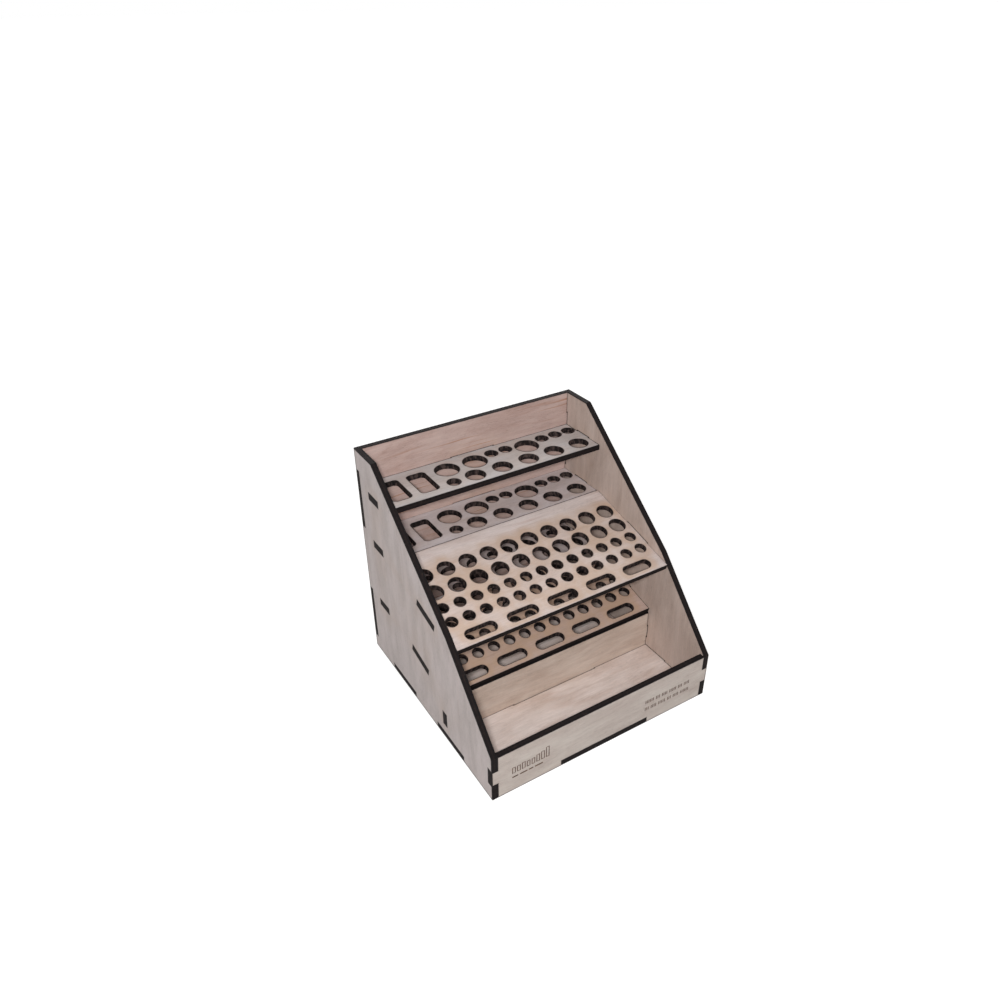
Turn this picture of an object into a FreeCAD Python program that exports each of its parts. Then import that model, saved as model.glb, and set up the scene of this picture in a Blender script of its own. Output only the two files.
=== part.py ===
import FreeCAD, Part

import math
import os
import re

import Sketcher

# A desk stand for hobby tools, made of eleven laser-cut plywood pieces that push together.
#
# Two profiled side panels carry everything else by tabs in slots. A bottom, a low front and a
# full-height back close the box. Three level shelves stand against the back, and two racks lean
# forward from the front edges of the middle and the lower shelf. The riser under the lower rack
# is the back wall of an open tray behind the front panel.
#
# Millimetres. X is to the right, Y runs to the back, Z is up. The origin is on the bench, under
# the middle of the stand.
#
# Every piece is drawn flat on its own XY plane, one sheet thick, and then put in its place. The
# expressions below measure Y from the stand's front edge; placing moves the front edge to
# half the depth before the origin.

SIZES = {
    # the sheet, its fits and the overall width
    "sheet": 4.2,  # thickness of the plywood
    "fit_gap": 0.1,  # laser clearance on each side of a tab in its slot
    "overcut": 1,  # how far an edge notch is cut beyond the edge it opens through
    "width": 180,  # across the outer faces of the side panels
    "end_margin": 1.4,  # least wood between the last hole of a row and the end of its piece
    # tray and front
    "front_height": 37,  # front panel, and the front edge of the side panels
    "front_tab_low": 13,  # bench to the front panel's side tab
    "front_tab_length": 12.3,
    "tray_depth": 55.8,  # between the front panel and the riser
    "floor_tab_length": 72,  # tabs of the bottom and the riser, across the width
    "riser_tab_length": 10.5,
    # bottom and back in the side panels
    "bottom_tab_front": 37.7,  # front edge of the stand to the bottom's first side tab
    "bottom_tab_back": 33.4,  # back of the stand to the bottom's second side tab
    "bottom_tab_length": 35.8,
    "back_tab_low": 12,  # bench to the back's lower side tab
    "back_tab_high": 17,  # top edge to the back's upper side tab
    "back_tab_length": 45,
    # levels of the three shelves, measured to their top faces
    "lower_level": 57.3,  # above the bench
    "middle_rise": 51.7,  # above the lower shelf
    "top_rise": 39.6,  # above the middle shelf
    "top_rim": 26.9,  # top shelf to the top edge of the back and the side panels
    # side panel outline
    "top_run": 28,  # level top edge, forward from the back
    "corner_lead": 6.9,  # the slope's corner stands this far behind and above the middle rack's lip
    # level shelf: side and back tabs
    "shelf_tab_inset": 13.9,  # shelf's front edge to its side tab
    "shelf_tab_length": 14,
    "shelf_back_tab": 36,
    # level shelf: holes
    "blade_width": 14,
    "blade_length": 27,
    "blade_corner": 3,
    "blade_web": 7,  # wood between the blade slots, and after them
    "blade_margin": 5.8,  # shelf's left end to the first blade slot
    "wide_hole": 17.8,
    "wide_web": 5.3,  # between the two wide holes
    "narrow_hole": 9.6,
    "narrow_web": 2.6,  # beside a narrow hole
    "narrow_margin": 5.4,  # front edge to the single narrow hole
    "pen_hole": 14.2,
    "pen_web": 8.2,
    "pen_lead": 5.8,  # single narrow hole to the first pen hole
    "shelf_front_margin": 3.7,  # front edge to the pen holes
    "shelf_row_web": 1.4,  # pen holes to wide holes, front to back
    "shelf_back_margin": 5.6,  # wide and narrow holes to the back edge
    # racks: tilt and place
    "tilt": 14,  # degrees down to the front
    "fold_gap": 0.1,  # rack to the front edge of its shelf
    "lower_rack_step": 0.4,  # the rack's back edge stands this much above its shelf
    "middle_rack_step": 0.8,  # more, so that it hides the groove before the shelf
    "rack_tab_inset": 24,  # rack's front edge to its side tab, along the slope
    "rack_tab_length": 23,
    # racks: holes, from the front edge along the slope
    "rack_front_margin": 3.9,
    "slot_length": 23,
    "slot_width": 8,
    "slot_web": 9,
    "slot_row_web": 5.9,  # slots to fine holes
    "fine_hole": 8,
    "fine_web": 5,
    "fine_row_web": 4.5,
    "mixed_row_web": 3.9,  # fine holes to coarse holes
    "coarse_hole": 12.2,
    "coarse_web": 4.8,
    "coarse_row_web": 3.6,
    "lower_plain": 1.8,  # last row to the back edge of the lower rack
    "middle_plain": 15.8,  # last row to the back edge of the middle rack
}

BLADE_SLOTS = 2
WIDE_PAIR = 2
NARROW_PAIR = 2

# Lengths that follow from the sizes, as expressions over their names.
COS = "cos(tilt * 1 deg)"
SIN = "sin(tilt * 1 deg)"
OUTER = "(width / 2)"
INNER = "(width / 2 - sheet)"

SLOT_ROW = "(rack_front_margin + slot_width / 2)"
FINE_ROW_FRONT = "(rack_front_margin + slot_width + slot_row_web + fine_hole / 2)"
FINE_ROW_BACK = f"({FINE_ROW_FRONT} + fine_hole + fine_row_web)"
COARSE_ROW_FRONT = f"({FINE_ROW_BACK} + fine_hole / 2 + mixed_row_web + coarse_hole / 2)"
COARSE_ROW_BACK = f"({COARSE_ROW_FRONT} + coarse_hole + coarse_row_web)"
LOWER_LENGTH = f"({COARSE_ROW_BACK} + coarse_hole / 2 + lower_plain)"
MIDDLE_LENGTH = f"({COARSE_ROW_BACK} + coarse_hole / 2 + middle_plain)"

RISER_FACE = "(sheet + tray_depth)"
RACK_BACK = f"({RISER_FACE} + {LOWER_LENGTH} * {COS})"
FOLD = f"({RACK_BACK} + sheet * {SIN} + fold_gap)"
SHELF_DEPTH = "(shelf_front_margin + pen_hole + shelf_row_web + wide_hole + shelf_back_margin)"
DEPTH = f"({FOLD} + {SHELF_DEPTH} + sheet)"

LOWER_LEVEL = "lower_level"
MIDDLE_LEVEL = f"({LOWER_LEVEL} + middle_rise)"
TOP_LEVEL = f"({MIDDLE_LEVEL} + top_rise)"
HEIGHT = f"({TOP_LEVEL} + top_rim)"


def lip(level, step, length):
    """Y and Z of a rack's top front edge, from its shelf's level, its step and its own length."""
    return f"({RACK_BACK} - {length} * {COS})", f"({level} + {step} - {length} * {SIN})"


LOWER_LIP = lip(LOWER_LEVEL, "lower_rack_step", LOWER_LENGTH)
MIDDLE_LIP = lip(MIDDLE_LEVEL, "middle_rack_step", MIDDLE_LENGTH)
RISER_TOP = f"({LOWER_LIP[1]} - sheet * {COS} - fit_gap)"

DOC = FreeCAD.newDocument("organizer")


def make_sheet():
    """Write every driving size into a spreadsheet, one named cell each."""
    cells = DOC.addObject("Spreadsheet::Sheet", "Sizes")
    for row, (name, value) in enumerate(SIZES.items(), start=1):
        cells.set(f"A{row}", name.replace("_", " "))
        cells.set(f"B{row}", str(value))
        cells.setAlias(f"B{row}", name)
    DOC.recompute()
    return cells


CELLS = make_sheet()


def bound(text):
    """The same expression with each size written as its cell in the spreadsheet."""
    return re.sub(r"[a-z_]+", lambda word: f"Sizes.{word[0]}" if word[0] in SIZES else word[0], text)


def value(text):
    """What an expression comes to at the present sizes."""
    return float(CELLS.evalExpression(bound(text)))


def point(x, y):
    """A point of a sketch from two expressions."""
    return FreeCAD.Vector(value(x), value(y), 0)


def new_body(label):
    """An empty body with its node's name."""
    body = DOC.addObject("PartDesign::Body", label)
    body.Label = label
    return body


def new_sketch(body, name):
    """An empty sketch on the body's own XY plane."""
    plane = next(item for item in body.Origin.OriginFeatures if item.Role == "XY_Plane")
    sketch = body.newObject("Sketcher::SketchObject", f"{body.Label}_{name}")
    sketch.AttachmentSupport = [(plane, "")]
    sketch.MapMode = "FlatFace"
    return sketch


def hold(sketch, kind, places, text):
    """Add a constraint whose value is an expression."""
    index = sketch.addConstraint(Sketcher.Constraint(kind, *places, value(text)))
    sketch.setExpression(f"Constraints[{index}]", bound(text))


def hold_point(sketch, curve, end, x, y):
    """Fix a curve's point at x, y from the sketch's origin."""
    hold(sketch, "DistanceX", (-1, 1, curve, end), x)
    hold(sketch, "DistanceY", (-1, 1, curve, end), y)


def draw_polygon(sketch, corners):
    """Closed straight-sided outline through corners given as pairs of expressions."""
    first = sketch.GeometryCount
    count = len(corners)
    for start, end in zip(corners, corners[1:] + corners[:1]):
        sketch.addGeometry(Part.LineSegment(point(*start), point(*end)))
    for index in range(count):
        following = first + (index + 1) % count
        sketch.addConstraint(Sketcher.Constraint("Coincident", first + index, 2, following, 1))
    for index, corner in enumerate(corners):
        hold_point(sketch, first + index, 1, *corner)


def draw_rectangle(sketch, left, right, low, high):
    """Upright rectangle between four expressions."""
    draw_polygon(sketch, [(left, low), (right, low), (right, high), (left, high)])


def draw_circle(sketch, x, y, diameter):
    """Round hole."""
    radius = value(diameter) / 2
    curve = sketch.addGeometry(Part.Circle(point(x, y), FreeCAD.Vector(0, 0, 1), radius))
    hold(sketch, "Diameter", (curve,), diameter)
    hold_point(sketch, curve, 3, x, y)


def draw_rounded(sketch, centres, diameter, first_angle):
    """Closed outline of equal arcs about the centres, in order against the clock, joined by lines."""
    radius = value(diameter) / 2
    turn = 2 * math.pi / len(centres)
    arcs = []
    for index, centre in enumerate(centres):
        circle = Part.Circle(point(*centre), FreeCAD.Vector(0, 0, 1), radius)
        start = math.radians(first_angle) + index * turn
        arcs.append(Part.ArcOfCircle(circle, start, start + turn))
    curves = []
    for arc, following in zip(arcs, arcs[1:] + arcs[:1]):
        curves.append(sketch.addGeometry(arc))
        curves.append(sketch.addGeometry(Part.LineSegment(arc.EndPoint, following.StartPoint)))
    for curve, following in zip(curves, curves[1:] + curves[:1]):
        sketch.addConstraint(Sketcher.Constraint("Tangent", curve, 2, following, 1))
    for curve, centre in zip(curves[::2], centres):
        hold_point(sketch, curve, 3, *centre)
    for curve in curves[2::2]:
        sketch.addConstraint(Sketcher.Constraint("Equal", curves[0], curve))
    hold(sketch, "Diameter", (curves[0],), diameter)


def pad(body, sketch):
    """Raise a sketch to one sheet's thickness."""
    feature = body.newObject("PartDesign::Pad", f"{sketch.Name}_pad")
    feature.Profile = sketch
    feature.setExpression("Length", bound("sheet"))
    sketch.Visibility = False
    return feature


def cut(body, sketch):
    """Cut a sketch right through the sheet, upwards from the body's XY plane."""
    feature = body.newObject("PartDesign::Pocket", f"{sketch.Name}_cut")
    feature.Profile = sketch
    feature.Type = "ThroughAll"
    feature.Reversed = True
    sketch.Visibility = False
    return feature


def repeat(body, feature, pitch, count, leftwards=False):
    """Repeat a cut along its sketch's X axis."""
    pattern = body.newObject("PartDesign::LinearPattern", f"{feature.Name}_row")
    pattern.Originals = [feature]
    pattern.Direction = (feature.Profile[0], ["H_Axis"])
    pattern.Mode = "Spacing"
    pattern.Reversed = leftwards
    pattern.setExpression("Offset", bound(pitch))
    pattern.setExpression("Occurrences", bound(count))
    body.Tip = pattern


def plate(label, left, right, low, high):
    """Plain rectangular piece, one sheet thick."""
    body = new_body(label)
    outline = new_sketch(body, "outline")
    draw_rectangle(outline, left, right, low, high)
    pad(body, outline)
    return body


def add_tabs(body, tabs):
    """Add tabs to a piece, each a rectangle that starts on its edge."""
    sketch = new_sketch(body, "tabs")
    for tab in tabs:
        draw_rectangle(sketch, *tab)
    pad(body, sketch)


def end_tabs(start, length):
    """One tab on each end of a piece that spans the side panels, through to their outer faces."""
    finish = f"({start} + {length})"
    return [(INNER, OUTER, start, finish), (f"-{OUTER}", f"-{INNER}", start, finish)]


def place(body, x="0", y="0", z="0"):
    """Bind the piece's place, with Y from the stand's front edge; its turn is set before."""
    for axis, text in zip("xyz", (x, f"{y} - {DEPTH} / 2", z)):
        body.setExpression(f"Placement.Base.{axis}", bound(text))


def stand_across(body, back_face):
    """Turn a piece upright across the stand, with its back face at a given Y."""
    body.Placement = FreeCAD.Placement(
        FreeCAD.Vector(), FreeCAD.Rotation(FreeCAD.Vector(1, 0, 0), 90)
    )
    place(body, y=back_face)


def side_slot(start, finish, top):
    """Slot in a side panel for the tab of a level piece: Y from start to finish, below top."""
    return (
        f"{start} - fit_gap",
        f"{finish} + fit_gap",
        f"{top} - sheet - fit_gap",
        f"{top} + fit_gap",
    )


def rack_slot(rack_lip):
    """Corners of the leaning slot in a side panel for a rack's tab."""
    y, z = rack_lip
    near = "(rack_tab_inset - fit_gap)"
    far = "(rack_tab_inset + rack_tab_length + fit_gap)"
    under = "(-sheet - fit_gap)"
    over = "fit_gap"
    return [
        (f"{y} + {run} * {COS} - {rise} * {SIN}", f"{z} + {run} * {SIN} + {rise} * {COS}")
        for run, rise in ((near, under), (far, under), (far, over), (near, over))
    ]


def side_panel(label, inner_x):
    """Profiled side, drawn in the stand's Y and Z, with its first face at inner_x."""
    body = new_body(label)
    outline = new_sketch(body, "outline")
    corner_y = f"({MIDDLE_LIP[0]} + corner_lead)"
    corner_z = f"({MIDDLE_LIP[1]} + corner_lead)"
    draw_polygon(
        outline,
        [
            ("0", "0"),
            (DEPTH, "0"),
            (DEPTH, HEIGHT),
            (f"{DEPTH} - top_run", HEIGHT),
            (corner_y, corner_z),
            ("0", "front_height"),
        ],
    )
    pad(body, outline)

    slots = new_sketch(body, "slots")
    tab_start = f"({FOLD} + shelf_tab_inset)"
    for level in (LOWER_LEVEL, MIDDLE_LEVEL, TOP_LEVEL):
        draw_rectangle(slots, *side_slot(tab_start, f"{tab_start} + shelf_tab_length", level))
    for rack_lip in (LOWER_LIP, MIDDLE_LIP):
        draw_polygon(slots, rack_slot(rack_lip))
    riser_low = f"({RISER_TOP} / 2 - riser_tab_length / 2 - fit_gap)"
    riser_high = f"({RISER_TOP} / 2 + riser_tab_length / 2 + fit_gap)"
    riser_back = f"{RISER_FACE} + sheet + fit_gap"
    draw_rectangle(slots, f"{RISER_FACE} - fit_gap", riser_back, riser_low, riser_high)
    cut(body, slots)

    notches = new_sketch(body, "notches")
    front_high = "front_tab_low + front_tab_length + fit_gap"
    draw_rectangle(notches, "-overcut", "sheet + fit_gap", "front_tab_low - fit_gap", front_high)
    second = f"({DEPTH} - bottom_tab_back - bottom_tab_length)"
    for start in ("bottom_tab_front", second):
        finish = f"{start} + bottom_tab_length + fit_gap"
        draw_rectangle(notches, f"{start} - fit_gap", finish, "-overcut", "sheet + fit_gap")
    upper = f"({HEIGHT} - back_tab_high - back_tab_length)"
    for start in ("back_tab_low", upper):
        finish = f"{start} + back_tab_length + fit_gap"
        back_edges = (f"{DEPTH} - sheet - fit_gap", f"{DEPTH} + overcut")
        draw_rectangle(notches, *back_edges, f"{start} - fit_gap", finish)
    cut(body, notches)

    # the body's X, Y and Z become the stand's Y, Z and X
    body.Placement = FreeCAD.Placement(
        FreeCAD.Vector(), FreeCAD.Rotation(FreeCAD.Vector(1, 1, 1), 120)
    )
    place(body, x=inner_x)


def bottom_panel():
    """Floor of the stand, with a tab forward, one back and two to each side."""
    body = plate("bottom_panel", f"-{INNER}", INNER, "sheet", f"{DEPTH} - sheet")
    half_tab = "floor_tab_length / 2"
    tabs = [
        (f"-{half_tab}", half_tab, "0", "sheet"),
        (f"-{half_tab}", half_tab, f"{DEPTH} - sheet", DEPTH),
    ]
    second = f"({DEPTH} - bottom_tab_back - bottom_tab_length)"
    for start in ("bottom_tab_front", second):
        tabs += end_tabs(start, "bottom_tab_length")
    add_tabs(body, tabs)
    slot = new_sketch(body, "riser_slot")
    slot_back = f"{RISER_FACE} + sheet + fit_gap"
    edges = (f"-{half_tab} - fit_gap", f"{half_tab} + fit_gap")
    draw_rectangle(slot, *edges, f"{RISER_FACE} - fit_gap", slot_back)
    cut(body, slot)
    place(body)


def front_panel():
    """Low front wall, notched below for the bottom's tab."""
    body = plate("front_panel", f"-{INNER}", INNER, "0", "front_height")
    add_tabs(body, end_tabs("front_tab_low", "front_tab_length"))
    notch = new_sketch(body, "notch")
    half_tab = "(floor_tab_length / 2 + fit_gap)"
    draw_rectangle(notch, f"-{half_tab}", half_tab, "-overcut", "sheet + fit_gap")
    cut(body, notch)
    stand_across(body, "sheet")


def back_panel():
    """Full-height back wall, slotted for the shelves' tabs and notched for the bottom's."""
    body = plate("back_panel", f"-{INNER}", INNER, "0", HEIGHT)
    upper = f"({HEIGHT} - back_tab_high - back_tab_length)"
    tabs = end_tabs("back_tab_low", "back_tab_length") + end_tabs(upper, "back_tab_length")
    add_tabs(body, tabs)
    slots = new_sketch(body, "slots")
    half_notch = "(floor_tab_length / 2 + fit_gap)"
    draw_rectangle(slots, f"-{half_notch}", half_notch, "-overcut", "sheet + fit_gap")
    half_slot = "(shelf_back_tab / 2 + fit_gap)"
    for level in (LOWER_LEVEL, MIDDLE_LEVEL, TOP_LEVEL):
        edges = (f"{level} - sheet - fit_gap", f"{level} + fit_gap")
        draw_rectangle(slots, f"-{half_slot}", half_slot, *edges)
    cut(body, slots)
    stand_across(body, DEPTH)


def tray_riser():
    """Back wall of the tray, tabbed into the sides and down through the bottom."""
    body = plate("tray_riser", f"-{INNER}", INNER, "sheet", RISER_TOP)
    tabs = end_tabs(f"({RISER_TOP} / 2 - riser_tab_length / 2)", "riser_tab_length")
    tabs.append(("-floor_tab_length / 2", "floor_tab_length / 2", "0", "sheet"))
    add_tabs(body, tabs)
    stand_across(body, f"{RISER_FACE} + sheet")


def cut_hole(body, name, x, y, diameter):
    """Cut one round hole."""
    sketch = new_sketch(body, name)
    draw_circle(sketch, x, y, diameter)
    return cut(body, sketch)


def fitting(room, item, web):
    """How many items with webs between them fit in the room, and at least one."""
    return f"max(1; floor(({room} + {web}) / ({item} + {web})))"


def cut_round_row(body, name, y, diameter, web):
    """Cut a centred row of round holes, as many as fit between the piece's ends."""
    pitch = f"({diameter} + {web})"
    count = fitting(f"2 * {INNER} - 2 * end_margin", diameter, web)
    first = cut_hole(body, name, f"-({count} - 1) * {pitch} / 2", y, diameter)
    repeat(body, first, pitch, count)


def cut_blade_slots(body):
    """Slots with rounded corners for blades and scissors, side by side near a shelf's left end."""
    sketch = new_sketch(body, "blade_slot")
    left = f"(blade_margin - {INNER} + blade_corner)"
    right = f"(blade_margin - {INNER} + blade_width - blade_corner)"
    low = f"(({SHELF_DEPTH} - blade_length) / 2 + blade_corner)"
    high = f"(({SHELF_DEPTH} + blade_length) / 2 - blade_corner)"
    centres = [(right, high), (left, high), (left, low), (right, low)]
    draw_rounded(sketch, centres, "2 * blade_corner", 0)
    repeat(body, cut(body, sketch), "(blade_width + blade_web)", str(BLADE_SLOTS))


def level_shelf(label, level):
    """Level shelf against the back, with slots and holes for upright tools."""
    body = plate(label, f"-{INNER}", INNER, "0", SHELF_DEPTH)
    back_tab = ("-shelf_back_tab / 2", "shelf_back_tab / 2", SHELF_DEPTH, f"{SHELF_DEPTH} + sheet")
    add_tabs(body, end_tabs("shelf_tab_inset", "shelf_tab_length") + [back_tab])
    cut_blade_slots(body)

    # left to right along the back: two wide holes, two narrow ones, one wide one
    blades_end = f"(blade_margin - {INNER} + {BLADE_SLOTS} * (blade_width + blade_web))"
    wide_row = f"({SHELF_DEPTH} - shelf_back_margin - wide_hole / 2)"
    narrow_row = f"({SHELF_DEPTH} - shelf_back_margin - narrow_hole / 2)"
    wide_pitch = "(wide_hole + wide_web)"
    narrow_pitch = "(narrow_hole + narrow_web)"
    wide_first = f"({blades_end} + wide_hole / 2)"
    narrow_first = f"({wide_first} + {wide_pitch} + wide_hole / 2 + narrow_web + narrow_hole / 2)"
    wide_last = f"({narrow_first} + {narrow_pitch} + narrow_hole / 2 + narrow_web + wide_hole / 2)"
    wide_pair = cut_hole(body, "wide_hole", wide_first, wide_row, "wide_hole")
    repeat(body, wide_pair, wide_pitch, str(WIDE_PAIR))
    narrow_pair = cut_hole(body, "narrow_hole", narrow_first, narrow_row, "narrow_hole")
    repeat(body, narrow_pair, narrow_pitch, str(NARROW_PAIR))
    cut_hole(body, "last_wide_hole", wide_last, wide_row, "wide_hole")

    # the rest of the back row is narrow holes, from the right end inwards
    end_hole = f"({INNER} - end_margin - narrow_hole / 2)"
    room = f"({INNER} - end_margin - {wide_last} - wide_hole / 2 - narrow_web)"
    end_holes = cut_hole(body, "end_hole", end_hole, narrow_row, "narrow_hole")
    repeat(body, end_holes, narrow_pitch, fitting(room, "narrow_hole", "narrow_web"), leftwards=True)

    # along the front: one narrow hole, then pen holes up to the right end
    front_hole = f"({blades_end} + narrow_hole / 2)"
    cut_hole(body, "front_hole", front_hole, "narrow_margin + narrow_hole / 2", "narrow_hole")
    pen_start = f"({front_hole} + narrow_hole / 2 + pen_lead)"
    pen_holes = cut_hole(
        body,
        "pen_hole",
        f"{pen_start} + pen_hole / 2",
        "shelf_front_margin + pen_hole / 2",
        "pen_hole",
    )
    pen_room = f"({INNER} - end_margin - {pen_start})"
    repeat(body, pen_holes, "(pen_hole + pen_web)", fitting(pen_room, "pen_hole", "pen_web"))

    place(body, y=FOLD, z=f"{level} - sheet")


def tool_rack(label, rack_lip, length):
    """Rack that leans forward, with slots for flat tools and holes for slim ones."""
    body = plate(label, f"-{INNER}", INNER, "0", length)
    add_tabs(body, end_tabs("rack_tab_inset", "rack_tab_length"))

    slots = new_sketch(body, "slot")
    pitch = "(slot_length + slot_web)"
    count = fitting(f"2 * {INNER} - 2 * end_margin", "slot_length", "slot_web")
    first = f"(-({count} - 1) * {pitch} / 2)"
    reach = "(slot_length - slot_width) / 2"
    centres = [(f"{first} + {reach}", SLOT_ROW), (f"{first} - {reach}", SLOT_ROW)]
    draw_rounded(slots, centres, "slot_width", -90)
    repeat(body, cut(body, slots), pitch, count)

    cut_round_row(body, "fine_front", FINE_ROW_FRONT, "fine_hole", "fine_web")
    cut_round_row(body, "fine_back", FINE_ROW_BACK, "fine_hole", "fine_web")
    cut_round_row(body, "coarse_front", COARSE_ROW_FRONT, "coarse_hole", "coarse_web")
    cut_round_row(body, "coarse_back", COARSE_ROW_BACK, "coarse_hole", "coarse_web")

    lip_y, lip_z = rack_lip
    body.Placement = FreeCAD.Placement(
        FreeCAD.Vector(), FreeCAD.Rotation(FreeCAD.Vector(1, 0, 0), SIZES["tilt"])
    )
    body.setExpression("Placement.Rotation.Angle", bound("tilt * 1 deg"))
    place(body, y=f"{lip_y} + sheet * {SIN}", z=f"{lip_z} - sheet * {COS}")


def build():
    """Make the eleven pieces."""
    side_panel("left_side_panel", f"-{OUTER}")
    side_panel("right_side_panel", INNER)
    back_panel()
    bottom_panel()
    front_panel()
    tray_riser()
    level_shelf("lower_back_shelf", LOWER_LEVEL)
    level_shelf("middle_back_shelf", MIDDLE_LEVEL)
    level_shelf("top_back_shelf", TOP_LEVEL)
    tool_rack("lower_tool_rack", LOWER_LIP, LOWER_LENGTH)
    tool_rack("middle_tool_rack", MIDDLE_LIP, MIDDLE_LENGTH)
    DOC.recompute()


def check():
    """Stop unless every feature worked, every cut took wood away and every piece is one solid."""
    for item in DOC.Objects:
        if "Invalid" in item.State or "Error" in item.State:
            raise RuntimeError(f"{item.Name} failed: {item.State}")
        copies = item.TypeId == "PartDesign::LinearPattern" and item.Occurrences > 1
        if copies or item.TypeId == "PartDesign::Pocket":
            if item.Shape.Volume >= item.BaseFeature.Shape.Volume - 1:
                raise RuntimeError(f"{item.Name} cuts nothing")
    for body in DOC.findObjects("PartDesign::Body"):
        shape = body.Shape
        if shape.isNull() or not shape.isValid() or len(shape.Solids) != 1:
            raise RuntimeError(f"{body.Label} is not one sound solid")


def export():
    """Write each piece to its own STEP file."""
    os.makedirs("parts", exist_ok=True)
    for body in DOC.findObjects("PartDesign::Body"):
        body.Shape.exportStep(f"parts/{body.Label}.step")


build()
check()
export()
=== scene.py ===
"""Looks of a press-fit stand for hobby tools, laser-cut from birch plywood.

Every piece of the stand is one flat sheet. Each is made here anew from the cut lines of its
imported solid, as a closed mesh with a broken edge and fine rows of points beside every cut, so
that the smoke stain and the charred rim follow the laser's path. Lengths on the sheets are
millimetres, as a maker would give them. The studio's lengths and all meshes are in metres, in the
frame of the solids.
"""

import logging
import math
from dataclasses import dataclass, field
from enum import Enum

import bpy
import numpy as np
from mathutils import Matrix, Vector
from mathutils.geometry import delaunay_2d_cdt


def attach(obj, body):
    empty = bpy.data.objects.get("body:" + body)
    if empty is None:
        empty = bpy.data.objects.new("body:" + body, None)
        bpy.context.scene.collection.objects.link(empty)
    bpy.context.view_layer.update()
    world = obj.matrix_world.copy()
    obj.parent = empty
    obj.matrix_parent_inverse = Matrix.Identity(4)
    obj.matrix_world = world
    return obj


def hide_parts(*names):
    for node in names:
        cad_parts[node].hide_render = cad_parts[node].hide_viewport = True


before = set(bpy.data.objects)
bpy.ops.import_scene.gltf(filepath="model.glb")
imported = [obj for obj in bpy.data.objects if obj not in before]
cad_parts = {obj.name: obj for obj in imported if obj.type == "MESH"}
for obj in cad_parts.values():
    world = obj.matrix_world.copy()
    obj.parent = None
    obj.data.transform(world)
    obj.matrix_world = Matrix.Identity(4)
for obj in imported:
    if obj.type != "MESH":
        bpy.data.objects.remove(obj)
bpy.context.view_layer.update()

MM = 0.001
WHITE = (1.0, 1.0, 1.0, 1.0)
FILL_INSIDE = 1  # the triangulation keeps only what lies inside the outer ring
FILL_MERGE = 1e-6  # millimetres within which it joins two points
log = logging.getLogger("hobby_stand")

Triple = tuple[float, float, float]  # a colour, a place, or cells in three directions
Loop = np.ndarray  # a closed outline on a sheet, one point in each row


class Grain(Enum):
    """Which way the face veneer's grain runs on a piece."""

    SIDEWAYS = (1.0, 0.0, 0.0)
    UPRIGHT = (0.0, 0.0, 1.0)


class Face(Enum):
    """Which way the better face of a piece looks."""

    LEFT = (-1.0, 0.0, 0.0)
    FRONT = (0.0, -1.0, 0.0)
    UP = (0.0, 0.0, 1.0)


class Surface(Enum):
    """Material slots of a cut sheet, in order."""

    VENEER = 0
    CUT_EDGE = 1
    ENGRAVED = 2


@dataclass(frozen=True)
class Speckle:
    """One noise over a sheet.

    Attributes:
        cells: Cells per millimetre along the grain, across it and through the sheet.
        detail: How many finer octaves are added.
        roughness: How strong the finer octaves are.
    """

    cells: Triple
    detail: float = 2.0
    roughness: float = 0.5


@dataclass(frozen=True)
class Ease:
    """A smooth change from one level to another.

    Attributes:
        start: Value at which the change begins.
        end: Value at which it ends.
        before: Level up to the start.
        after: Level from the end on.
    """

    start: float
    end: float
    before: float = 0.0
    after: float = 1.0


@dataclass(frozen=True)
class Relief:
    """Fine relief of a surface.

    Attributes:
        strength: How much of it the light shows.
        depth: Its depth in millimetres.
    """

    strength: float
    depth: float


def linear(colour: Triple) -> tuple[float, float, float, float]:
    """Turn a colour in 0 to 255 display steps into the renderer's linear values, by the sRGB curve.

    Args:
        colour: Red, green and blue as a paint program gives them.

    Returns:
        Linear red, green and blue with full alpha.
    """
    parts = [c / 255 for c in colour]
    flat = [c / 12.92 if c <= 0.04045 else ((c + 0.055) / 1.055) ** 2.4 for c in parts]
    return (flat[0], flat[1], flat[2], 1.0)


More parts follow.
